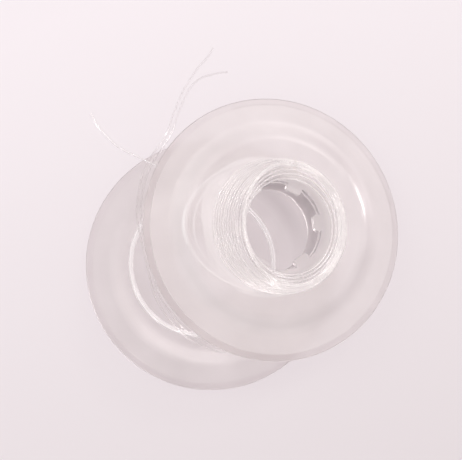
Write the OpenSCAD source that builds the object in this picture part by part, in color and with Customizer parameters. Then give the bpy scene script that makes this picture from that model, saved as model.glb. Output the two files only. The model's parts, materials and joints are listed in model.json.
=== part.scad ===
// Two-piece thread bobbin, opened: the base half lies flat with its slotted
// collar up, and the cover half leans on it with the thread still on its hub.
// Millimetres. +Z is up, the base's axis is the Z axis, and z = 0 is the table.

/* [Flanges] */
// Outer diameter of both flanges
flange_d = 52; // [50:0.5:54]
// Thickness of the moulded wall
wall = 1; // [0.8:0.1:1.2]
// Diameter of the flat middle of each flange
plateau_d = 36; // [34:0.5:37]
// Diameter at which the sloping step ends
step_d = 41; // [40:0.5:43]
// Height of the step from the flat middle to the outer band
step_h = 1.2; // [0.8:0.1:1.4]
// Width of the thin lip round the rim
lip_w = 1.3; // [0.8:0.1:1.5]
// Thickness of the lip, flush with the thread side
lip_t = 0.5; // [0.4:0.1:0.7]

/* [Cover hub] */
// Bore of the cover's hub tube
bore_d = 17.2; // [17:0.1:17.6]
// Wall of the hub tube
tube_wall = 1.4; // [1.2:0.1:1.5]
// Length of the hub tube from the outer face of the cover
tube_len = 8; // [7.6:0.1:8.2]
// Number of tabs that reach into the bore
tab_count = 6; // [4:1:8]
// Width of each tab
tab_w = 3.2; // [2:0.1:4]
// How far each tab reaches into the bore
tab_reach = 1.3; // [0.8:0.1:1.4]
// Corner radius of each tab
tab_round = 0.6; // [0.3:0.1:1]
// How far the mouth between the tabs stands back from the bore
mouth_relief = 0.3; // [0.2:0.1:0.5]

/* [Base collar] */
// Outer diameter of the collar, which slips into the hub tube
collar_d = 16.7; // [16.4:0.1:16.8]
// Wall of the collar
collar_wall = 1.1; // [0.9:0.1:1.3]
// Height of the collar above the table
collar_h = 7.3; // [6.6:0.1:7.3]
// Depth of the slots that part the collar into fingers
slot_depth = 4; // [3:0.5:4.5]
// Width of each slot
slot_w = 1.8; // [1.2:0.1:2.4]

/* [Leaning cover] */
// Tilt of the cover's axis from upright, in degrees
tilt = 15.5; // [15.3:0.1:15.7]
// Direction in which the cover's axis leans, in degrees from +X
lean_dir = 31.5; // [20:0.5:40]
// Distance of the cover's outer face centre from the base's axis
cover_out = 15.7; // [15.6:0.1:15.8]
// Height of the cover's outer face centre above the table
cover_z = 13.3; // [13.3:0.1:14]

/* [Thread] */
// Diameter of the thread
thread_d = 0.35; // [0.3:0.05:0.45]
// Diameter over the tight turns on the hub
winding_d = 24.4; // [23:0.1:24.6]

/* [Hidden] */
$fn = 96;

plastic = [0.88, 0.86, 0.88, 0.75];
nylon = [0.97, 0.95, 0.95, 0.9];

flange_r = flange_d / 2;
plateau_r = plateau_d / 2;
step_r = step_d / 2;
bore_r = bore_d / 2;
tube_r = bore_r + tube_wall;
collar_r = collar_d / 2;
collar_in = collar_r - collar_wall;
chamfer = 0.3;        // on moulded edges
lip_edge = 0.15;      // on the two edges of the lip
eps = 0.01;           // overlap between parts of one solid
fit_gap = 0.05;       // thread to plastic

// Angle of the first tab and of the first slot, from +X
first_tab = 5;

// ---- Turns of thread ----
winding_r = winding_d / 2;
winding_end = 0.7;    // from the tube's free end to the last turn
turn_pitch = 0.5;     // along the hub
layer_dip = 0.12;     // depth of the groove between two turns

// Turns that sprang over the hub's edge and lie on the cover: fanned out
// towards -X, close together towards +X
sprung_outer = [-0.3, 0.3];
sprung_outer_r = 13.4;
sprung_inner = [3.1, 0.3];
sprung_inner_r = 8.7;

// Slack turns that hang under the cover: an egg-shaped loop round the hub
slack_left = 18.4;    // reach to the far side
slack_right = 13.6;   // reach to the near side
slack_side = 13;      // reach to both flanks
slack_drop = 2;       // below the cover's outer face
slack_w = 0.7;
slack_rings = 36;

// Turns that dropped round the collar
fallen_centre = [-1.8, 0.4];
fallen_r = 15;
fallen_w = 0.9;

// Free ends: the route of each, from the turns to its tip
route_left = [[0.4, 6.2, 14.1], [-0.7, 8.3, 14.0], [-1.9, 10.4, 13.8], [-3.9, 14.1, 13.4],
    [-6.4, 16.8, 13.2], [-8.5, 18.6, 13.0], [-10.5, 20.0, 12.4], [-12.1, 20.8, 11.2],
    [-13.9, 21.7, 9.2], [-16.0, 22.8, 6.6], [-18.2, 24.0, 4.0], [-19.9, 25.1, 2.2],
    [-21.2, 26.3, 1.0], [-22.8, 28.0, 0.4], [-24.2, 29.8, 0.3], [-25.3, 32.0, 0.3]];
route_top_a = [[8.9, -12.0, 1.5], [6.4, -15.2, 1.5], [3.0, -17.0, 1.8], [-2.2, -15.5, 2.3],
    [-6.8, -11.8, 2.4], [-10.5, -6.6, 2.3], [-12.2, -1.0, 2.3], [-13.4, 4.2, 2.3],
    [-14.4, 9.4, 2.4], [-14.4, 13.2, 2.4], [-13.4, 18.2, 2.6], [-11.7, 21.8, 3.0],
    [-10.4, 23.6, 3.0], [-9.2, 25.8, 2.0], [-8.0, 28.2, 0.8], [-7.2, 31.0, 0.3],
    [-5.8, 34.6, 0.3], [-4.2, 37.6, 0.3], [-2.0, 39.4, 0.3], [0.9, 40.3, 0.3], [3.6, 40.7, 0.3]];
route_top_b = [[9.7, -12.6, 1.5], [7.0, -16.1, 1.6], [3.0, -18.0, 1.9], [-2.6, -16.4, 2.3],
    [-7.5, -12.5, 2.4], [-11.3, -7.0, 2.3], [-13.0, -1.0, 2.3], [-14.2, 4.2, 2.3],
    [-15.2, 9.3, 2.4], [-15.2, 13.2, 2.4], [-14.2, 18.6, 2.7], [-12.4, 22.2, 3.1],
    [-11.1, 24.2, 3.0], [-10.0, 26.0, 2.0], [-8.9, 28.4, 0.8], [-8.1, 31.2, 0.3],
    [-6.7, 34.8, 0.3], [-5.1, 38.0, 0.3], [-3.0, 41.2, 0.3], [-0.9, 43.6, 0.3], [0.5, 45.7, 0.3]];

// ---- Placing ----
// Puts a thing modelled on the cover's own axis, outer face at z = 0, in its place.
module on_cover() {
    translate([cover_out * cos(lean_dir), cover_out * sin(lean_dir), cover_z])
        rotate([0, 0, lean_dir])
            rotate([0, tilt, 0])
                rotate([0, 0, -lean_dir])
                    children();
}

// ---- Mouldings ----
// Section of a flange from radius r_in out: outer face at y = 0, thread side up.
function flange_section(r_in) = let(
        r1 = flange_r - lip_w,
        back = step_h + wall,
        low = back - lip_t)
    [[r_in, 0], [plateau_r, 0], [step_r, step_h], [r1, step_h], [r1, low],
     [flange_r - lip_edge, low], [flange_r, low + lip_edge], [flange_r, back - lip_edge],
     [flange_r - lip_edge, back], [step_r, back], [plateau_r, wall], [r_in, wall]];

// Section of a hub wall between two radii, chamfered at its free end. A relief
// widens its mouth through the flange.
function hub_section(r_in, r_out, len, relief) = concat(
    [[r_in + relief, eps], [r_out + chamfer, eps], [r_out + chamfer, wall], [r_out, wall + chamfer],
     [r_out, len - chamfer], [r_out - chamfer, len], [r_in + chamfer, len], [r_in, len - chamfer]],
    relief > 0 ? [[r_in, wall], [r_in + relief, wall]] : []);

module flange(r_in) {
    rotate_extrude()
        polygon(flange_section(r_in));
}

module hub_wall(r_in, r_out, len, relief = 0) {
    rotate_extrude()
        polygon(hub_section(r_in, r_out, len, relief));
}

module slot(angle) {
    rotate([0, 0, angle])
        translate([collar_in - 1, -slot_w / 2, collar_h - slot_depth])
            cube([collar_wall + 2, slot_w, slot_depth + 1]);
}

// A tab across the bore's mouth, its two free corners round.
module tab(angle) {
    root = bore_r + tube_wall / 2;
    tip = bore_r - tab_reach;
    rotate([0, 0, angle]) {
        translate([tip + tab_round, -tab_w / 2, 0])
            cube([root - tip - tab_round, tab_w, wall]);
        translate([tip, tab_round - tab_w / 2, 0])
            cube([root - tip, tab_w - 2 * tab_round, wall]);
        for (side = [-1, 1])
            translate([tip + tab_round, side * (tab_w / 2 - tab_round), 0])
                cylinder(h = wall, r = tab_round);
    }
}

module base_shell() {
    color(plastic)
        difference() {
            union() {
                flange(collar_in);
                hub_wall(collar_in, collar_r, collar_h);
            }
            for (i = [0 : tab_count - 1])
                slot(first_tab + i * 360 / tab_count);
        }
}

module cover_shell() {
    color(plastic)
        on_cover()
            rotate([180, 0, 0]) {
                flange(bore_r + mouth_relief);
                hub_wall(bore_r, tube_r, tube_len, mouth_relief);
                for (i = [0 : tab_count - 1])
                    tab(-first_tab - i * 360 / tab_count);
            }
}

// ---- Thread ----
// Tight turns: a ring whose outside is grooved once for each turn.
function winding_section() = let(
        start = wall + fit_gap,
        stop = tube_len - winding_end,
        turns = floor((stop - start - chamfer) / turn_pitch),
        half = turn_pitch / 2)
    concat([[tube_r + fit_gap, stop], [tube_r + fit_gap, start + chamfer * 2],
            [tube_r + chamfer * 2, start]],
        [for (i = [0 : turns - 1]) for (side = [0, 1])
            [winding_r - (side == 0 ? layer_dip : 0), start + chamfer + i * turn_pitch + side * half]],
        [[winding_r - layer_dip, stop]]);

module winding() {
    color(nylon)
        on_cover()
            rotate([180, 0, 0])
                rotate_extrude()
                    polygon(winding_section());
}

// A flat band of turns that lie side by side, resting on z = 0.
module turn_band(r, width, height) {
    bevel = height / 3;
    rotate_extrude()
        translate([r - width / 2, 0])
            polygon([[bevel, 0], [width - bevel, 0], [width, bevel], [width, height - bevel],
                     [width - bevel, height], [bevel, height], [0, height - bevel], [0, bevel]]);
}

// A flat layer between two circles that don't share a centre, resting on z = 0.
module fanned_layer(outer, outer_r, inner, inner_r, height) {
    difference() {
        translate(outer)
            cylinder(h = height, r = outer_r);
        translate([inner.x, inner.y, -1])
            cylinder(h = height + 2, r = inner_r);
    }
}

module sprung_turns() {
    color(nylon)
        on_cover()
            translate([0, 0, fit_gap])
                fanned_layer(sprung_outer, sprung_outer_r, sprung_inner, sprung_inner_r,
                             thread_d + 0.1);
}

module fallen_turns() {
    color(nylon)
        translate([fallen_centre.x, fallen_centre.y, wall + fit_gap])
            turn_band(fallen_r, fallen_w, fallen_w * 0.8);
}

// Rings of points along a path, 8 to a ring; "up" stays off the path's direction.
function unit(v) = v / norm(v);
function ring_at(p, dir, r, up = [0, 0, 1]) = let(
        side = unit(cross(dir, up)),
        over = cross(side, dir))
    [for (k = [0 : 7]) p + r * (cos(k * 45) * side + sin(k * 45) * over)];

module tube(path, r, closed = false) {
    n = len(path);
    rings = [for (i = [0 : n - 1]) let(
            before = path[closed ? (i + n - 1) % n : max(i - 1, 0)],
            after = path[closed ? (i + 1) % n : min(i + 1, n - 1)])
        each ring_at(path[i], unit(after - before), r)];
    sides = [for (i = [0 : (closed ? n : n - 1) - 1]) for (k = [0 : 7]) let(
            j = (i + 1) % n,
            m = (k + 1) % 8)
        [i * 8 + k, i * 8 + m, j * 8 + m, j * 8 + k]];
    caps = closed ? [] : [[for (k = [7 : -1 : 0]) k], [for (k = [0 : 7]) (n - 1) * 8 + k]];
    polyhedron(points = rings, faces = concat(sides, caps));
}

// Egg-shaped loop: round on the near side, drawn out on the far side.
function slack_path() = [for (i = [0 : slack_rings - 1]) let(
        a = i * 360 / slack_rings,
        reach = cos(a) > 0 ? slack_right : slack_left)
    [reach * cos(a), slack_side * sin(a), -slack_drop]];

module slack_turns() {
    color(nylon)
        on_cover()
            tube(slack_path(), slack_w / 2, closed = true);
}

module tail_left() { color(nylon) tube(route_left, thread_d / 2); }
module tail_top_a() { color(nylon) tube(route_top_a, thread_d / 2); }
module tail_top_b() { color(nylon) tube(route_top_b, thread_d / 2); }

base_shell();
cover_shell();
winding();
sprung_turns();
slack_turns();
fallen_turns();
tail_left();
tail_top_a();
tail_top_b();
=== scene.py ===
# %% [markdown]
# # A two-piece thread bobbin
#
# The real object is a pair of frosted plastic flanges that push together at the
# hub, with clear nylon thread wound between them. Here they have come apart: the
# base half lies flat, and the cover half leans on it with the thread still on
# its hub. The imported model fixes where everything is. This lesson adds what it
# lacks: soft moulded edges, single strands of thread and see-through finishes.

# %% Load the frame
import json
import math
import random

import bpy
from mathutils import Matrix, Vector


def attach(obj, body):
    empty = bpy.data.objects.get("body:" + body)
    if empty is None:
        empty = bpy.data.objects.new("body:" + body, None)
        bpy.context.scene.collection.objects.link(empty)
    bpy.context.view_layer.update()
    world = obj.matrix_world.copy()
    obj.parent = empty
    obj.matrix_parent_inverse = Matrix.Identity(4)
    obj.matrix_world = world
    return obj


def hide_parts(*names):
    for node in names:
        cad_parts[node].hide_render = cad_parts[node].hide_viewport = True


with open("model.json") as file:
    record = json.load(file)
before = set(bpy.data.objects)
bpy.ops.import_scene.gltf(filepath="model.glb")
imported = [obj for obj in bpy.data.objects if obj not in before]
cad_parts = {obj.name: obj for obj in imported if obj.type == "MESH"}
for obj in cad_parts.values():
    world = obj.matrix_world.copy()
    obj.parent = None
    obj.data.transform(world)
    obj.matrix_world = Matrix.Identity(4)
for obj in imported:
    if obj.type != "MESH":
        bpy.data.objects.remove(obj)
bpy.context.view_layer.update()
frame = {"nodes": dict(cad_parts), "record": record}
MM = 0.001
print("nodes:", ", ".join(sorted(frame["nodes"])))

# %% [markdown]
# ## The camera
#
# A small object on a table is usually looked at from straight above. A camera
# that points down needs no rotation at all in Blender, so only its place and its
# lens matter. The lens follows from the picture's scale: how many pixels a
# millimetre on the table takes, and how far away the camera hangs.

# %% Camera
IMAGE_W = 462
PX_PER_MM = 4.785           # at the height of the lower flange's rim
RIM_HEIGHT = 1.7 * MM
CAMERA_HEIGHT = 160 * MM
CAMERA_X = 4.26 * MM
CAMERA_Y = 7.36 * MM
SENSOR_W = 36.0
NEAREST_SEEN = 5 * MM
SEE_THROUGH_LAYERS = 64     # how many strands and walls one ray may pass

camera_data = bpy.data.cameras.new("camera")
camera_data.sensor_width = SENSOR_W
camera_data.lens = PX_PER_MM / MM * (CAMERA_HEIGHT - RIM_HEIGHT) / IMAGE_W * SENSOR_W
camera_data.clip_start = NEAREST_SEEN
camera = bpy.data.objects.new("camera", camera_data)
camera.location = (CAMERA_X, CAMERA_Y, CAMERA_HEIGHT)
bpy.context.collection.objects.link(camera)
bpy.context.scene.camera = camera
bpy.context.scene.view_settings.view_transform = "Standard"
bpy.context.scene.cycles.transparent_max_bounces = SEE_THROUGH_LAYERS
print("lens %.1f mm" % camera_data.lens)

# %% [markdown]
# ## Where the cover half stands
#
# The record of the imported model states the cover's bore as a mount: a point on
# its axis and the direction of that axis. Everything on the cover is modelled
# upright, with the outer face of the cover at height zero, and is then turned
# and moved once. Reading the mount keeps the picture and the model together.

# %% The cover's place
BORE_POINT_DEPTH = 5.5 * MM     # the mount's point, below the cover's outer face

mounts = {m["name"]: m for m in frame["record"]["mounts"]}
bore = mounts["cover_bore"]
cover_axis = -Vector(bore["axis"]).normalized()
cover_face = Vector(bore["pos_m"]) + cover_axis * BORE_POINT_DEPTH
cover_turn = Vector((0, 0, 1)).rotation_difference(cover_axis).to_matrix().to_4x4()
ON_COVER = Matrix.Translation(cover_face) @ cover_turn
ON_TABLE = Matrix.Identity(4)
print("cover tilt %.1f degrees" % math.degrees(cover_axis.angle(Vector((0, 0, 1)))))

# %% [markdown]
# ## Free ends of thread
#
# Clear nylon is springy: it keeps the memory of the spool and runs in wide,
# smooth curves. Each free end leaves the turns, runs to its tip and is cut off
# bare. Its route is a short list of given points. A Catmull-Rom curve
# passes through every one of them, so the strand lies where the list says.

# %% Free ends
THREAD_D = 0.35 * MM

ROUTE_LEFT = [
    (0.4, 6.2, 14.1), (-0.7, 8.3, 14.0), (-1.9, 10.4, 13.8), (-3.9, 14.1, 13.4),
    (-6.4, 16.8, 13.2), (-8.5, 18.6, 13.0), (-10.5, 20.0, 12.4), (-12.1, 20.8, 11.2),
    (-13.9, 21.7, 9.2), (-16.0, 22.8, 6.6), (-18.2, 24.0, 4.0), (-19.9, 25.1, 2.2),
    (-21.2, 26.3, 1.0), (-22.8, 28.0, 0.4), (-24.2, 29.8, 0.3), (-25.3, 32.0, 0.3),
]
ROUTE_TOP_A = [
    (8.9, -12.0, 1.5), (6.4, -15.2, 1.5), (3.0, -17.0, 1.8), (-2.2, -15.5, 2.3),
    (-6.8, -11.8, 2.4), (-10.5, -6.6, 2.3), (-12.2, -1.0, 2.3), (-13.4, 4.2, 2.3),
    (-14.4, 9.4, 2.4), (-14.4, 13.2, 2.4), (-13.4, 18.2, 2.6), (-11.7, 21.8, 3.0),
    (-10.4, 23.6, 3.0), (-9.2, 25.8, 2.0), (-8.0, 28.2, 0.8), (-7.2, 31.0, 0.3),
    (-5.8, 34.6, 0.3), (-4.2, 37.6, 0.3), (-2.0, 39.4, 0.3), (0.9, 40.3, 0.3),
    (3.6, 40.7, 0.3),
]
ROUTE_TOP_B = [
    (9.7, -12.6, 1.5), (7.0, -16.1, 1.6), (3.0, -18.0, 1.9), (-2.6, -16.4, 2.3),
    (-7.5, -12.5, 2.4), (-11.3, -7.0, 2.3), (-13.0, -1.0, 2.3), (-14.2, 4.2, 2.3),
    (-15.2, 9.3, 2.4), (-15.2, 13.2, 2.4), (-14.2, 18.6, 2.7), (-12.4, 22.2, 3.1),
    (-11.1, 24.2, 3.0), (-10.0, 26.0, 2.0), (-8.9, 28.4, 0.8), (-8.1, 31.2, 0.3),
    (-6.7, 34.8, 0.3), (-5.1, 38.0, 0.3), (-3.0, 41.2, 0.3), (-0.9, 43.6, 0.3),
    (0.5, 45.7, 0.3),
]
STEPS_PER_SPAN = 6
ROUNDNESS = 2               # bevel resolution of a strand


def smooth_route(route):
    """Points in metres on a Catmull-Rom curve through a route in millimetres."""
    knots = [Vector(p) * MM for p in route]
    knots = [2 * knots[0] - knots[1]] + knots + [2 * knots[-1] - knots[-2]]
    points = []
    for p0, p1, p2, p3 in zip(knots, knots[1:], knots[2:], knots[3:]):
        for k in range(STEPS_PER_SPAN):
            t = k / STEPS_PER_SPAN
            linear = (p2 - p0) * t
            square = (2 * p0 - 5 * p1 + 4 * p2 - p3) * t * t
            cube = (3 * p1 - p0 - 3 * p2 + p3) * t * t * t
            points.append(0.5 * (2 * p1 + linear + square + cube))
    return points + [knots[-2]]


def path_length(points):
    return sum((b - a).length for a, b in zip(points, points[1:]))


def deselect_all():
    bpy.ops.object.select_all(action="DESELECT")


def make_active(piece):
    deselect_all()
    piece.select_set(True)
    bpy.context.view_layer.objects.active = piece


def strand_mesh(name, strands, closed=False):
    """One mesh, made from a spline for each strand, thickened to the thread's diameter."""
    data = bpy.data.curves.new(name, "CURVE")
    data.dimensions = "3D"
    data.bevel_depth = THREAD_D / 2
    data.bevel_resolution = ROUNDNESS
    data.use_fill_caps = True
    for points in strands:
        spline = data.splines.new("POLY")
        spline.points.add(len(points) - 1)
        for point, where in zip(spline.points, points):
            point.co = (*where, 1)
        spline.use_cyclic_u = closed
        spline.use_smooth = True
    piece = bpy.data.objects.new(name, data)
    bpy.context.collection.objects.link(piece)
    make_active(piece)
    bpy.ops.object.convert(target="MESH")
    bpy.ops.object.shade_smooth()
    return bpy.context.object


def free_end(name, node, route, body):
    """A cut end of thread, whose cord length is measured along its own route."""
    points = smooth_route(route)
    piece = strand_mesh(name, [points])
    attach(piece, body)
    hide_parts(node)
    print("%s: %.1f mm" % (name, path_length(points) / MM))
    return piece


free_ends = [
    free_end("free_end_left", "tail_left", ROUTE_LEFT, "cover"),
    free_end("free_end_top_a", "tail_top_a", ROUTE_TOP_A, "base"),
    free_end("free_end_top_b", "tail_top_b", ROUTE_TOP_B, "base"),
]

# %% [markdown]
# ## Turning a moulding from its section
#
# Both halves are round, so each is drawn once as a section, the outline you would
# see if the moulding were sawn through, and spun about its axis. The rings of
# points and the faces between them are written out one by one, because the spin
# and extrude operators put their faces in another order each time. A bevel on
# every sharp edge follows, because a moulded edge is never knife sharp, and light
# shows that.

# %% Section tools
SPIN_STEPS = 192
SOFT_SEGMENTS = 2
SHARP_ANGLE = math.radians(28)
SMOOTH_ANGLE = math.radians(40)


def written_mesh(name, points, faces):
    """A piece whose points and faces come in the order given."""
    data = bpy.data.meshes.new(name)
    data.from_pydata(points, [], faces)
    piece = bpy.data.objects.new(name, data)
    bpy.context.collection.objects.link(piece)
    return piece


def face_outward(piece):
    make_active(piece)
    bpy.ops.object.mode_set(mode="EDIT")
    bpy.ops.mesh.select_all(action="SELECT")
    bpy.ops.mesh.normals_make_consistent(inside=False)
    bpy.ops.object.mode_set(mode="OBJECT")


def spun(name, section):
    """Spins a closed section of (radius, height) points about the Z axis."""
    count = len(section)
    points, faces = [], []
    for step in range(SPIN_STEPS):
        turn = 2 * math.pi * step / SPIN_STEPS
        points += [(r * math.cos(turn), r * math.sin(turn), height) for r, height in section]
        here, ahead = step * count, (step + 1) % SPIN_STEPS * count
        for i in range(count):
            j = (i + 1) % count
            faces.append((here + i, here + j, ahead + j, ahead + i))
    piece = written_mesh(name, points, faces)
    face_outward(piece)
    return piece


def cut_away(piece, cutter):
    """Boolean difference, after which the cutter is gone."""
    make_active(piece)
    cut = piece.modifiers.new("cut", "BOOLEAN")
    cut.operation = "DIFFERENCE"
    cut.solver = "EXACT"
    cut.object = cutter
    bpy.ops.object.modifier_apply(modifier=cut.name)
    bpy.data.objects.remove(cutter)


def soften(piece, width):
    """Rounds every sharp edge, as a mould does."""
    make_active(piece)
    bevel = piece.modifiers.new("soften", "BEVEL")
    bevel.width = width
    bevel.segments = SOFT_SEGMENTS
    bevel.limit_method = "ANGLE"
    bevel.angle_limit = SHARP_ANGLE
    bevel.use_clamp_overlap = True
    bpy.ops.object.modifier_apply(modifier=bevel.name)
    bpy.ops.object.shade_smooth_by_angle(angle=SMOOTH_ANGLE)
    flatten = piece.modifiers.new("flatten", "WEIGHTED_NORMAL")
    flatten.keep_sharp = True
    bpy.ops.object.modifier_apply(modifier=flatten.name)


def put_in_place(piece, place):
    piece.data.transform(place)
    piece.data.update()


# %% [markdown]
# ## The flange
#
# Seen in section, a flange is a thin wall with three features: a flat middle that
# stands on the table, a shallow sloping step that stiffens it, and a thin lip
# round the rim, flush with the thread side, that lets the thread slip off easily.

# %% Flange section
FLANGE_R = 26 * MM
PLATEAU_R = 18 * MM
STEP_R = 20.5 * MM
STEP_H = 1.2 * MM
WALL = 1 * MM
LIP_W = 1.3 * MM
LIP_T = 0.5 * MM
LIP_EDGE = 0.15 * MM
BORE_R = 8.6 * MM
MOUTH_RING = 9.3 * MM       # parts the mouth's edge from the rest of the flat middle
TUBE_R = 10 * MM
TUBE_LEN = 8 * MM
COLLAR_R = 8.35 * MM
COLLAR_IN = 7.25 * MM
COLLAR_H = 7.3 * MM
CHAMFER = 0.3 * MM
EDGE_ROUND = 0.1 * MM
STEP_ROUND = 4.5 * MM
FILLET_STEPS = 8


def fillet(before, corner, after):
    """Points of the arc that rounds one corner of a section."""
    corner = Vector(corner)
    back = (Vector(before) - corner).normalized()
    ahead = (Vector(after) - corner).normalized()
    half = back.angle(ahead) / 2
    centre = corner + (back + ahead).normalized() * STEP_ROUND / math.sin(half)
    start = corner + back * STEP_ROUND / math.tan(half) - centre
    stop = corner + ahead * STEP_ROUND / math.tan(half) - centre
    return [tuple(centre + start.lerp(stop, k / FILLET_STEPS).normalized() * STEP_ROUND)
            for k in range(FILLET_STEPS + 1)]


def rim_points():
    """From the outer face's step, round the lip, to the thread side's step."""
    inner = FLANGE_R - LIP_W
    back = STEP_H + WALL
    low = back - LIP_T
    out_a, out_b = (PLATEAU_R, 0), (STEP_R, STEP_H)
    in_a, in_b = (PLATEAU_R, WALL), (STEP_R, back)
    lip = [(inner, STEP_H), (inner, low),
           (FLANGE_R - LIP_EDGE, low), (FLANGE_R, low + LIP_EDGE),
           (FLANGE_R, back - LIP_EDGE), (FLANGE_R - LIP_EDGE, back)]
    return (fillet((0, 0), out_a, out_b) + fillet(out_a, out_b, lip[0]) + lip
            + fillet(lip[-1], in_b, in_a) + fillet(in_b, in_a, (0, WALL)))


def half_section(r_in, r_out, length, lip=0.0):
    """The whole half: a hub wall from r_in to r_out, and a lip into its bore if asked."""
    hub = [(r_out + CHAMFER, WALL), (r_out, WALL + CHAMFER), (r_out, length - CHAMFER),
           (r_out - CHAMFER, length), (r_in + CHAMFER, length), (r_in, length - CHAMFER)]
    mouth = [(r_in, 0)]
    if lip:
        mouth = [(r_in, WALL), (r_in - lip, WALL), (r_in - lip, 0), (MOUTH_RING, 0)]
    return rim_points() + hub + mouth


# %% [markdown]
# ## The base half
#
# The collar that stands on the base pushes into the cover's hub. Slots part it
# into six fingers, which give a little as the halves go together. They are cut
# with one boolean: six boxes stand round the axis and are joined into one cutter.

# %% Base half
TABS = 6
FIRST_TAB = math.radians(5)
SLOT_W = 1.8 * MM
SLOT_DEPTH = 4 * MM
OVERCUT = 1 * MM


def slot_cutter():
    """Boxes that stand across the collar's wall, reach above it and act as one cutter."""
    middle = (COLLAR_R + COLLAR_IN) / 2
    height = COLLAR_H - SLOT_DEPTH / 2 + OVERCUT / 2
    box_size = (COLLAR_R - COLLAR_IN + 2 * OVERCUT, SLOT_W, SLOT_DEPTH + OVERCUT)
    boxes = []
    for i in range(TABS):
        angle = FIRST_TAB + i * 2 * math.pi / TABS
        deselect_all()
        bpy.ops.mesh.primitive_cube_add(
            size=1, rotation=(0, 0, angle), scale=box_size,
            location=(middle * math.cos(angle), middle * math.sin(angle), height))
        boxes.append(bpy.context.object)
    for box in boxes:
        box.select_set(True)
    bpy.ops.object.join()
    bpy.ops.object.transform_apply()
    return bpy.context.object


base_half = spun("base_half", half_section(COLLAR_IN, COLLAR_R, COLLAR_H))
cut_away(base_half, slot_cutter())
soften(base_half, EDGE_ROUND)
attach(base_half, "base")
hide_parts("base_shell")
print("base half:", len(base_half.data.polygons), "faces")

# %% [markdown]
# ## The cover half
#
# The same flange, upside down, with a wider hub tube. Six tabs reach into the
# bore at its outer face. A whole lip is spun first, and one block with the plan
# of the mouth is then cut out of it. Adding six blocks instead would leave hidden
# faces inside the plastic, and those show in a see-through finish.

# %% Cover half
TAB_W = 3.2 * MM
TAB_REACH = 1.3 * MM
TAB_ROUND = 0.6 * MM
MOUTH_RELIEF = 0.3 * MM
SHELF = 0.02 * MM           # how far past the flange's wall the mouth is cut
MOUTH_STEPS = 14
CORNER_STEPS = 5


def mouth_outline():
    """The bore's mouth in plan: arcs, and between them tabs with round corners."""
    mouth_r = BORE_R + MOUTH_RELIEF
    tip = BORE_R - TAB_REACH
    side = TAB_W / 2
    spacing = 2 * math.pi / TABS
    root_angle = math.asin(side / mouth_r)
    half_tab = []
    for k in range(CORNER_STEPS + 1):
        turn = math.pi / 2 * k / CORNER_STEPS
        half_tab.append((tip + TAB_ROUND * (1 - math.cos(turn)),
                         side - TAB_ROUND * (1 - math.sin(turn))))
    tab = [(x, -y) for x, y in reversed(half_tab)] + half_tab
    outline = []
    for i in range(TABS):
        angle = -FIRST_TAB + i * spacing    # minus, because the cover is turned over later
        c, s = math.cos(angle), math.sin(angle)
        outline += [(x * c - y * s, x * s + y * c) for x, y in tab]
        start, stop = angle + root_angle, angle + spacing - root_angle
        for k in range(MOUTH_STEPS + 1):
            a = start + (stop - start) * k / MOUTH_STEPS
            outline.append((mouth_r * math.cos(a), mouth_r * math.sin(a)))
    return outline


def mouth_cutter():
    """A block with the mouth's plan, through the flange's wall."""
    outline = mouth_outline()
    count = len(outline)
    points = [(x, y, height) for height in (-OVERCUT, WALL + SHELF) for x, y in outline]
    faces = [tuple(reversed(range(count))), tuple(range(count, 2 * count))]
    for i in range(count):
        j = (i + 1) % count
        faces.append((i, j, count + j, count + i))
    return written_mesh("mouth_cutter", points, faces)


cover_half = spun("cover_half",
                  half_section(BORE_R, TUBE_R, TUBE_LEN, lip=TAB_REACH + 2 * CHAMFER))
cut_away(cover_half, mouth_cutter())
soften(cover_half, EDGE_ROUND)
put_in_place(cover_half, ON_COVER @ Matrix.Rotation(math.pi, 4, "X"))
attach(cover_half, "cover")
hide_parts("cover_shell")
print("cover half:", len(cover_half.data.polygons), "faces")

# %% [markdown]
# ## Turns of thread
#
# Every group of turns is made of single strands, because clear thread has no
# colour of its own: it is seen only by the thin lights that run along each
# strand. A turn is a closed oval with its own centre and its own slight rise and
# fall, so neighbours touch, cross and part as real turns do.

# %% Turns
TURN_POINTS = 96
TWO_WAVES, THREE_WAVES = 0.6, 0.4       # how a turn's ripple is shared between two waves
RISE = 20 * MM                          # rise and fall of a turn with a ripple of one
RISE_LAG = 1.7
LAST_PHASE = 6


def oval_turn(centre, reach_x, reach_y, height, ripple=0.0, phase=0.0, place=ON_TABLE):
    """A closed turn. reach_x is its reach towards +x and -x, ripple bends it gently."""
    points = []
    for k in range(TURN_POINTS):
        a = 2 * math.pi * k / TURN_POINTS
        reach = reach_x[0] if math.cos(a) > 0 else reach_x[1]
        swell = 1 + ripple * (TWO_WAVES * math.sin(2 * a + phase)
                              + THREE_WAVES * math.sin(3 * a + 2 * phase))
        rise = RISE * ripple * math.sin(2 * a + RISE_LAG * phase)
        point = Vector((centre[0] + reach * swell * math.cos(a),
                        centre[1] + reach_y * swell * math.sin(a), height + rise))
        points.append(place @ point)
    return points


def thread_group(name, node, strands, body):
    """Closed turns as one piece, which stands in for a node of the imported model."""
    piece = strand_mesh(name, strands, closed=True)
    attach(piece, body)
    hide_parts(node)
    print("%s: %d turns" % (name, len(strands)))
    return piece


# %% [markdown]
# ### Tight turns on the hub
#
# The tight turns lie side by side in even layers. Only the outer layers and the
# ends of the stack can be seen, so the strands there are modelled, round a plain
# core that fills the rest.

# %% Winding
WINDING_R = 12.2 * MM
WINDING_TOP = 1.25 * MM
WINDING_END = 7.3 * MM
LAYER_GAP = 0.36 * MM
SEEN_LAYERS = 2             # of the layers beneath, only the first and the last turn show
TURN_WOBBLE = 0.05 * MM
CORE_GAP = 0.12 * MM
HUB_GAP = 0.05 * MM
random.seed(7)


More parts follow.
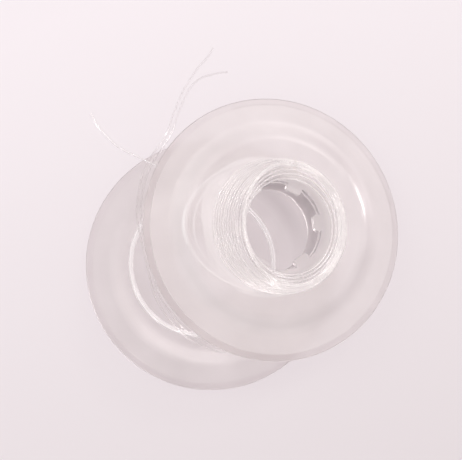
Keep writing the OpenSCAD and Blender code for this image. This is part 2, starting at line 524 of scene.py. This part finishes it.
def winding_strands():
    """Level turns in layers, from the outermost inwards."""
    strands = []
    layers = int((WINDING_R - TUBE_R) / LAYER_GAP)
    per_layer = int((WINDING_END - WINDING_TOP - THREAD_D) / THREAD_D)
    for layer in range(layers):
        radius = WINDING_R - THREAD_D / 2 - layer * LAYER_GAP
        turns = range(per_layer + 1) if layer < SEEN_LAYERS else (0, per_layer)
        for turn in turns:
            height = -(WINDING_TOP + THREAD_D / 2 + turn * THREAD_D)
            reach = radius + random.uniform(-TURN_WOBBLE, TURN_WOBBLE)
            strands.append(oval_turn((0, 0), (reach, reach), reach, height, place=ON_COVER))
    return strands


winding = thread_group("winding_strands", "winding", winding_strands(), "cover")

core_r = WINDING_R - THREAD_D - LAYER_GAP - CORE_GAP
core_top = WINDING_TOP + THREAD_D
core_end = WINDING_END - THREAD_D
core_in = TUBE_R + HUB_GAP
winding_core = spun("winding_core", [(core_in, -core_top), (core_r, -core_top),
                                     (core_r, -core_end), (core_in, -core_end)])
soften(winding_core, EDGE_ROUND)
put_in_place(winding_core, ON_COVER)
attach(winding_core, "cover")
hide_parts("winding")

# %% [markdown]
# ### Loose turns
#
# Three groups have sprung loose. Some jumped over the hub's edge and lie on the
# cover, in a few thin bundles at the right and fanned out at the left, where about
# half of them cross the bore. Some hang slack under the cover, drawn out to the
# left. Some dropped round the collar of the base.

# %% Loose turns
SPRUNG_GROUPS = [           # first turn, last turn and count, each turn by its reach in mm
    ((-6.6, 11.0, 9.4, -9.6), (-6.9, 12.3, 11.3, -10.8), 3),
    ((-6.9, 12.9, 12.3, -11.4), (-7.2, 13.3, 12.7, -11.8), 4),
    ((-7.7, 12.4, 11.9, -11.6), (-12.9, 13.9, 13.3, -13.3), 12),
]
SPRUNG_JITTER = 0.07
SPRUNG_LIFTS = (0.22 * MM, 0.47 * MM)   # on the cover, and on a neighbour
SPRUNG_RIPPLE = 0.003

SLACK_TURNS = 30
SLACK_START = 0.3           # how far out the first slack turn hangs, of the full reach
SLACK_GATHER = 9            # most of the others hang at the full reach
SLACK_LEFT = (13.0, 18.3)   # reach in mm, from tight to full
SLACK_SIDE = (12.6, 13.1)
SLACK_RIGHT = (12.6, 13.5)
SLACK_JITTER = 0.15
SLACK_SHIFT = 0.1 * MM
SLACK_FANS = [              # degrees from the left, reach of the first and last turn, count
    (-34, 13.2, 15.4, 7),
    (42, 13.3, 14.8, 6),
]
FAN_R = 12.8 * MM
FAN_JITTER = 0.1
SLACK_DEPTH = 1.28          # mm below the cover's outer face, where it is least
SLACK_SAG = 0.4
FAN_SAG = 0.5
SLACK_RIPPLE = 0.004

FALLEN_TURNS = 4
FALLEN_CENTRE = (-1.8 * MM, 0.4 * MM)
FALLEN_R = 14.7
FALLEN_SPREAD = 0.6
FALLEN_LIFTS = (1.25 * MM, 1.40 * MM, 1.55 * MM)
FALLEN_RIPPLE = 0.006


def between(a, b, t, jitter=0.0):
    """A length in metres, part of the way from a to b in millimetres."""
    return (a + (b - a) * t + random.uniform(-jitter, jitter)) * MM


def sprung_strands():
    """Turns that lie on the cover. Reaches are left, right, top and bottom."""
    strands = []
    for first, last, count in SPRUNG_GROUPS:
        for i in range(count):
            t = i / (count - 1)
            left, right, top, bottom = (between(a, b, t, SPRUNG_JITTER)
                                        for a, b in zip(first, last))
            centre = ((left + right) / 2, (top + bottom) / 2)
            reach = (right - left) / 2
            strands.append(oval_turn(centre, (reach, reach), (top - bottom) / 2,
                                     SPRUNG_LIFTS[i % len(SPRUNG_LIFTS)], ripple=SPRUNG_RIPPLE,
                                     phase=random.uniform(0, LAST_PHASE), place=ON_COVER))
    return strands


def slack_strands():
    """Turns that hang under the cover: drawn out to the left, and in two fans beside that."""
    strands = []
    for i in range(SLACK_TURNS):
        t = min(1.0, SLACK_START + SLACK_GATHER * i / (SLACK_TURNS - 1))
        left = between(*SLACK_LEFT, t, SLACK_JITTER)
        side = between(*SLACK_SIDE, t)
        right = between(*SLACK_RIGHT, t)
        centre = (0, random.uniform(-SLACK_SHIFT, SLACK_SHIFT))
        depth = (SLACK_DEPTH + SLACK_SAG * t * random.random()) * MM
        strands.append(oval_turn(centre, (right, left), side, -depth, ripple=SLACK_RIPPLE,
                                 phase=random.uniform(0, LAST_PHASE), place=ON_COVER))
    for degrees, near, far, count in SLACK_FANS:
        turned = ON_COVER @ Matrix.Rotation(math.radians(degrees), 4, "Z")
        for i in range(count):
            t = i / (count - 1)
            left = between(near, far, t, FAN_JITTER)
            depth = (SLACK_DEPTH + FAN_SAG * t) * MM
            strands.append(oval_turn((0, 0), (FAN_R, left), FAN_R, -depth, ripple=SLACK_RIPPLE,
                                     phase=random.uniform(0, LAST_PHASE), place=turned))
    return strands


def fallen_strands():
    """Turns that dropped round the base's collar."""
    strands = []
    for i in range(FALLEN_TURNS):
        radius = (FALLEN_R + FALLEN_SPREAD * i / (FALLEN_TURNS - 1)) * MM
        strands.append(oval_turn(FALLEN_CENTRE, (radius, radius), radius,
                                 FALLEN_LIFTS[i % len(FALLEN_LIFTS)], ripple=FALLEN_RIPPLE,
                                 phase=random.uniform(0, LAST_PHASE)))
    return strands


sprung = thread_group("sprung_strands", "sprung_turns", sprung_strands(), "cover")
slack = thread_group("slack_strands", "slack_turns", slack_strands(), "cover")
fallen = thread_group("fallen_strands", "fallen_turns", fallen_strands(), "base")

# %% [markdown]
# ## Finishes
#
# Natural polypropylene is milky: a thread that touches its back shows sharply,
# and one further away blurs into a haze. Rough transmission does just that. A
# small node group says where the moulding differs from place to place: its haze,
# the faint rings that flowing plastic leaves, the lip, the bend of the step, and
# a stretch of the step that is rubbed bright. It gives out only masks and a
# height. Each material decides what to make of them.

# %% Node helpers


def feed(tree, value, socket):
    """Sets a socket to a number, or links another node's output to it."""
    if isinstance(value, (int, float)):
        socket.default_value = value
    else:
        tree.links.new(value, socket)


def math_node(tree, operation, a, b=None):
    node = tree.nodes.new("ShaderNodeMath")
    node.operation = operation
    feed(tree, a, node.inputs[0])
    if b is not None:
        feed(tree, b, node.inputs[1])
    return node.outputs[0]


def remap(tree, value, from_ends=(0, 1), to_ends=(0, 1), smooth=False):
    """Carries a value from one range to another and stops it at the ends."""
    node = tree.nodes.new("ShaderNodeMapRange")
    if smooth:
        node.interpolation_type = "SMOOTHSTEP"
    feed(tree, value, node.inputs["Value"])
    names = ("From Min", "From Max", "To Min", "To Max")
    for name, end in zip(names, (*from_ends, *to_ends)):
        feed(tree, end, node.inputs[name])
    return node.outputs["Result"]


def two_tones(tree, where, first, last, first_at=0.0, last_at=1.0):
    """A colour that goes from first to last as where goes from 0 to 1."""
    node = tree.nodes.new("ShaderNodeValToRGB")
    start, stop = node.color_ramp.elements
    start.position, start.color = first_at, (*first, 1)
    stop.position, stop.color = last_at, (*last, 1)
    tree.links.new(where, node.inputs["Fac"])
    return node.outputs["Color"]


def new_material(name):
    """A material with a Principled shader on its surface, its tree and that shader."""
    material = bpy.data.materials.new(name)
    material.use_nodes = True
    tree = material.node_tree
    tree.nodes.clear()
    out = tree.nodes.new("ShaderNodeOutputMaterial")
    shader = tree.nodes.new("ShaderNodeBsdfPrincipled")
    tree.links.new(shader.outputs["BSDF"], out.inputs["Surface"])
    return material, tree, shader


def let_light_through(tree, shader, tint):
    """Thin clear plastic hardly shades what lies behind it: soft light passes straight on."""
    path = tree.nodes.new("ShaderNodeLightPath")
    passing = math_node(tree, "MAXIMUM",
                        path.outputs["Is Shadow Ray"], path.outputs["Is Diffuse Ray"])
    clear = tree.nodes.new("ShaderNodeBsdfTransparent")
    clear.inputs["Color"].default_value = (*tint, 1)
    mix = tree.nodes.new("ShaderNodeMixShader")
    tree.links.new(passing, mix.inputs["Fac"])
    tree.links.new(shader.outputs["BSDF"], mix.inputs[1])
    tree.links.new(clear.outputs["BSDF"], mix.inputs[2])
    out = next(n for n in tree.nodes if n.bl_idname == "ShaderNodeOutputMaterial")
    tree.links.new(mix.outputs["Shader"], out.inputs["Surface"])


def finish_with(piece, material):
    piece.data.materials.clear()
    piece.data.materials.append(material)


# %% Moulded skin group
SKIN_INPUTS = (
    ("Haze Scale", 90.0), ("Ring Pitch", 1100.0), ("Ring Strength", 0.3),
    ("Ridge Radius", 18.2 * MM), ("Wear From", 13 * MM), ("Wear To", 17 * MM),
    ("Lip Radius", FLANGE_R - LIP_W), ("Bend Radius", 19.4 * MM),
    ("Spared From", 4 * MM), ("Spared To", 14 * MM),
)
SKIN_OUTPUTS = ("Mask", "Wear", "Lip", "Bend", "Height")
RIDGE_FADE = (1.4 * MM, 0.6 * MM)       # from where a mask is nothing to where it is full
BEND_FADE = (2.2 * MM, 0.3 * MM)


def moulded_skin_group():
    """Masks for haze, wear, lip and bend, and a height, round the Z axis of its vector."""
    group = bpy.data.node_groups.new("moulded_skin", "ShaderNodeTree")
    face = group.interface
    face.new_socket("Vector", in_out="INPUT", socket_type="NodeSocketVector")
    for name, value in SKIN_INPUTS:
        socket = face.new_socket(name, in_out="INPUT", socket_type="NodeSocketFloat")
        socket.default_value = value
    for name in SKIN_OUTPUTS:
        face.new_socket(name, in_out="OUTPUT", socket_type="NodeSocketFloat")
    given = group.nodes.new("NodeGroupInput").outputs
    result = group.nodes.new("NodeGroupOutput").inputs
    links = group.links

    cloud = group.nodes.new("ShaderNodeTexNoise")
    cloud.inputs["Detail"].default_value = 4
    links.new(given["Vector"], cloud.inputs["Vector"])
    links.new(given["Haze Scale"], cloud.inputs["Scale"])
    links.new(cloud.outputs["Fac"], result["Mask"])

    split = group.nodes.new("ShaderNodeSeparateXYZ")
    links.new(given["Vector"], split.inputs[0])
    along_x = split.outputs["X"]
    square_x = math_node(group, "MULTIPLY", along_x, along_x)
    square_y = math_node(group, "MULTIPLY", split.outputs["Y"], split.outputs["Y"])
    radius = math_node(group, "SQRT", math_node(group, "ADD", square_x, square_y))

    def near_ring(ring_radius, fade, smooth=False):
        off = math_node(group, "ABSOLUTE", math_node(group, "SUBTRACT", radius, ring_radius))
        return remap(group, off, fade, smooth=smooth)

    turns = math_node(group, "MULTIPLY", radius, given["Ring Pitch"])
    wave = math_node(group, "SINE", math_node(group, "MULTIPLY", turns, 2 * math.pi))
    rings = math_node(group, "MULTIPLY", wave, given["Ring Strength"])
    links.new(math_node(group, "ADD", cloud.outputs["Fac"], rings), result["Height"])

    ridge = near_ring(given["Ridge Radius"], RIDGE_FADE)
    rubbed = remap(group, along_x, (given["Wear From"], given["Wear To"]))
    links.new(math_node(group, "MULTIPLY", ridge, rubbed), result["Wear"])

    lip = math_node(group, "GREATER_THAN", radius, given["Lip Radius"])
    links.new(lip, result["Lip"])

    bend = near_ring(given["Bend Radius"], BEND_FADE, smooth=True)
    bent = remap(group, along_x, (given["Spared From"], given["Spared To"]), (1, 0))
    links.new(math_node(group, "MULTIPLY", bend, bent), result["Bend"])
    return group


SKIN = moulded_skin_group()


# %% Frosted plastic
HAZE_FROM, HAZE_TO = 0.3, 0.7           # the haze's tone changes between these
SLANT_PATH_AND_PAINTED_SHADE = (0.72, 0.70, 0.71, 1)
SKIN_ROUGHNESS = (0.30, 0.40)
CLEARNESS = (0.72, 0.92)                # of the wall, and of the thin lip
BEND_MILK = 0.16


def frosted_plastic(name, place, polish, dense, thin, passed):
    """See-through milky plastic for a half whose axis stands where place says.

    Where the wall is seen at a slant, its colour is made darker: partly for the longer path
    through the plastic, partly painted shade, which falls mostly on the step's slopes.
    The lip is half as thick as the wall, so it is clearer and shows what lies beneath it.
    The step, where the wall bends when the halves are pulled apart, is a little milkier.
    A coat, as strong as polish says, shines where the step has rubbed on other things.
    """
    material, tree, shader = new_material(name)
    coords = tree.nodes.new("ShaderNodeTexCoord")
    mapping = tree.nodes.new("ShaderNodeMapping")
    back = place.inverted()
    mapping.inputs["Location"].default_value = back.to_translation()
    mapping.inputs["Rotation"].default_value = back.to_euler()
    tree.links.new(coords.outputs["Object"], mapping.inputs["Vector"])
    group = tree.nodes.new("ShaderNodeGroup")
    group.node_tree = SKIN
    tree.links.new(mapping.outputs["Vector"], group.inputs["Vector"])
    skin = group.outputs

    # Painted shade: the colour is darkened where the wall is seen at a slant, partly for the
    # longer path through the plastic.
    slant = tree.nodes.new("ShaderNodeLayerWeight")
    slant.inputs["Blend"].default_value = 0.5
    slant_shade_mix = tree.nodes.new("ShaderNodeMix")
    slant_shade_mix.data_type = "RGBA"
    slant_shade_mix.blend_type = "MULTIPLY"
    slant_shade_mix.inputs["B"].default_value = SLANT_PATH_AND_PAINTED_SHADE
    tone = two_tones(tree, skin["Mask"], dense, thin, HAZE_FROM, HAZE_TO)
    tree.links.new(slant.outputs["Facing"], slant_shade_mix.inputs["Factor"])
    tree.links.new(tone, slant_shade_mix.inputs["A"])
    tree.links.new(slant_shade_mix.outputs["Result"], shader.inputs["Base Color"])

    bump = tree.nodes.new("ShaderNodeBump")
    bump.inputs["Strength"].default_value = 0.05
    bump.inputs["Distance"].default_value = 0.05 * MM
    tree.links.new(skin["Height"], bump.inputs["Height"])
    tree.links.new(bump.outputs["Normal"], shader.inputs["Normal"])

    rough = remap(tree, skin["Mask"], to_ends=SKIN_ROUGHNESS)
    clear = remap(tree, skin["Lip"], to_ends=CLEARNESS)
    milk = math_node(tree, "MULTIPLY", skin["Bend"], BEND_MILK)
    passing = math_node(tree, "SUBTRACT", clear, milk)
    coat = math_node(tree, "MULTIPLY", skin["Wear"], polish)
    tree.links.new(rough, shader.inputs["Roughness"])
    tree.links.new(passing, shader.inputs["Transmission Weight"])
    tree.links.new(coat, shader.inputs["Coat Weight"])
    shader.inputs["Coat Roughness"].default_value = 0.12
    shader.inputs["Specular IOR Level"].default_value = 0.02
    shader.inputs["IOR"].default_value = 1.42
    let_light_through(tree, shader, passed)
    return material


# The base half's tones are set darker than the cover's, though both are the same plastic: the
# difference is painted shade, for the shadow the cover casts on the base.
shaded_base_plastic = frosted_plastic("frosted_base_painted_shade", ON_TABLE, polish=0.0,
                               dense=(0.80, 0.765, 0.76), thin=(0.87, 0.835, 0.83),
                               passed=(0.98, 0.975, 0.98))
cover_plastic = frosted_plastic("frosted_cover", ON_COVER, polish=0.7,
                                dense=(0.835, 0.80, 0.795), thin=(0.905, 0.87, 0.865),
                                passed=(0.95, 0.945, 0.95))
finish_with(base_half, shaded_base_plastic)
finish_with(cover_half, cover_plastic)

# %% [markdown]
# Drawn nylon is clear and glossy, with small changes along the strand where it
# was stretched or scuffed. It bends light, so it shows a bright line and a dark
# one beside it. One strand alone is clearest. The more of them lie together, the
# more often the light is bent and scattered, and the whiter and milkier they
# look. So each kind of bundle has its own clearness.

# %% Clear thread
SCUFF_SCALE = 400
THREAD_ROUGHNESS = (0.08, 0.20)
THREAD_PASSED = (0.999, 0.998, 0.998)


def drawn_nylon(name, clear, dull, bright):
    """Nylon of the given clearness, its tone between dull and bright along the strand."""
    material, tree, shader = new_material(name)
    coords = tree.nodes.new("ShaderNodeTexCoord")
    scuff = tree.nodes.new("ShaderNodeTexNoise")
    scuff.inputs["Scale"].default_value = SCUFF_SCALE
    scuff.inputs["Detail"].default_value = 2
    tree.links.new(coords.outputs["Object"], scuff.inputs["Vector"])
    rough = remap(tree, scuff.outputs["Fac"], to_ends=THREAD_ROUGHNESS)
    tone = two_tones(tree, scuff.outputs["Fac"], dull, bright)
    tree.links.new(rough, shader.inputs["Roughness"])
    tree.links.new(tone, shader.inputs["Base Color"])
    shader.inputs["Transmission Weight"].default_value = clear
    shader.inputs["IOR"].default_value = 1.5
    let_light_through(tree, shader, THREAD_PASSED)
    return material


THREAD_FINISHES = [         # name, clearness, dull and bright tone, pieces
    ("clear_thread", 0.94, (0.90, 0.885, 0.885), (0.96, 0.95, 0.945), free_ends[1:]),
    ("layered_thread", 0.80, (0.95, 0.93, 0.93), (1.0, 0.99, 0.98), [sprung, free_ends[0]]),
    # The wound turns and their core have a darker tone than the other thread: painted shade,
    # for the shade under the cover where they lie.
    ("wound_thread_painted_shade", 0.75, (0.76, 0.74, 0.74), (0.82, 0.805, 0.80), [winding, winding_core]),
    ("bunched_thread", 0.55, (0.96, 0.94, 0.94), (1.0, 0.99, 0.98), [fallen]),
    ("slack_thread", 0.05, (0.97, 0.96, 0.96), (1.0, 0.99, 0.99), [slack]),
]
for name, clear, dull, bright, pieces in THREAD_FINISHES:
    nylon = drawn_nylon(name, clear, dull, bright)
    for piece in pieces:
        finish_with(piece, nylon)

# %% [markdown]
# ## Table and light
#
# A pale table and a bright, even room suit a see-through object: most of what
# one sees in it is the light that comes up through it from the table. A wide
# lamp, the window, gives the soft shadow. Three small lamps give the shine, and
# each stands where a mirror would have to send its light: halfway between the
# lamp and the eye is the direction in which the shining spot faces. The key and
# the second lamp light up the turns of thread in two places each, and are kept
# off the mirror direction of the flat flange, which would go white all over. The
# low side lamp finds the ridge of the step.

# %% Table
TABLE_SIZE = 3.0
TABLE_GAP = 0.02 * MM
# The table's colour is painted darker towards the lower right: painted light falloff, for
# light that is stronger at the upper left.
PAINTED_FALLOFF_LENGTH = 120 * MM      # the table's tone fades over this length, to the lower right

deselect_all()
bpy.ops.mesh.primitive_plane_add(size=TABLE_SIZE, location=(0, 0, -TABLE_GAP))
table = bpy.context.object
table.name = "table"
table_finish, table_tree, table_shader = new_material("table")
table_coords = table_tree.nodes.new("ShaderNodeTexCoord")
across = table_tree.nodes.new("ShaderNodeMapping")
across.inputs["Rotation"].default_value = (0, 0, math.radians(65))
across.inputs["Scale"].default_value = (1 / PAINTED_FALLOFF_LENGTH,) * 3
across.inputs["Location"].default_value = (0.5, 0, 0)
fade = table_tree.nodes.new("ShaderNodeTexGradient")
table_tree.links.new(table_coords.outputs["Object"], across.inputs["Vector"])
table_tree.links.new(across.outputs["Vector"], fade.inputs["Vector"])
# The pale pink of the table, painted darker along the fade: painted light falloff.
table_tone_with_painted_falloff = two_tones(table_tree, fade.outputs["Fac"],
                       (0.91, 0.87, 0.895), (0.78, 0.74, 0.755))
table_tree.links.new(table_tone_with_painted_falloff, table_shader.inputs["Base Color"])
table_shader.inputs["Roughness"].default_value = 0.6
finish_with(table, table_finish)

# %% Light
ROOM_TONE = (1.0, 0.945, 0.96)
ROOM_STRENGTH = 0.585
WALL_TONE = (0.83, 0.77, 0.795)
WARM = (1.0, 0.95, 0.94)
WHITE = (1, 1, 1)
LAMP_AIM = Vector((0.01, 0.01, 0))
LAMP_DISTANCE = 2.0
LAMPS = [                   # name, azimuth and angle from upright, size in m, watts, colour
    ("key", 76, 31, 0.25, 5.5, WARM),
    ("second", 47, 53, 0.25, 9, WARM),
    ("window", 150, 45, 1.2, 9, WHITE),
    ("side", 22, 75, 0.35, 7, WARM),
]


def bright_room(tone, strength, seen):
    """Even light from all round. The camera sees the room's wall in the seen colour."""
    world = bpy.data.worlds.new("room")
    world.use_nodes = True
    nodes, links = world.node_tree.nodes, world.node_tree.links
    light = nodes["Background"]
    light.inputs["Color"].default_value = (*tone, 1)
    light.inputs["Strength"].default_value = strength
    wall = nodes.new("ShaderNodeBackground")
    wall.inputs["Color"].default_value = (*seen, 1)
    path = nodes.new("ShaderNodeLightPath")
    mix = nodes.new("ShaderNodeMixShader")
    links.new(path.outputs["Is Camera Ray"], mix.inputs["Fac"])
    links.new(light.outputs["Background"], mix.inputs[1])
    links.new(wall.outputs["Background"], mix.inputs[2])
    links.new(mix.outputs["Shader"], nodes["World Output"].inputs["Surface"])
    bpy.context.scene.world = world


def lamp(name, azimuth, tilt, size, power, colour):
    """A square lamp that faces the object from the given direction, in degrees."""
    a, t = math.radians(azimuth), math.radians(tilt)
    where = LAMP_DISTANCE * Vector((math.sin(t) * math.cos(a), math.sin(t) * math.sin(a),
                                    math.cos(t)))
    data = bpy.data.lights.new(name, "AREA")
    data.size = size
    data.energy = power
    data.color = colour
    light = bpy.data.objects.new(name, data)
    light.location = where
    light.rotation_euler = (LAMP_AIM - where).to_track_quat("-Z", "Y").to_euler()
    bpy.context.collection.objects.link(light)


bright_room(ROOM_TONE, ROOM_STRENGTH, WALL_TONE)
for settings in LAMPS:
    lamp(*settings)
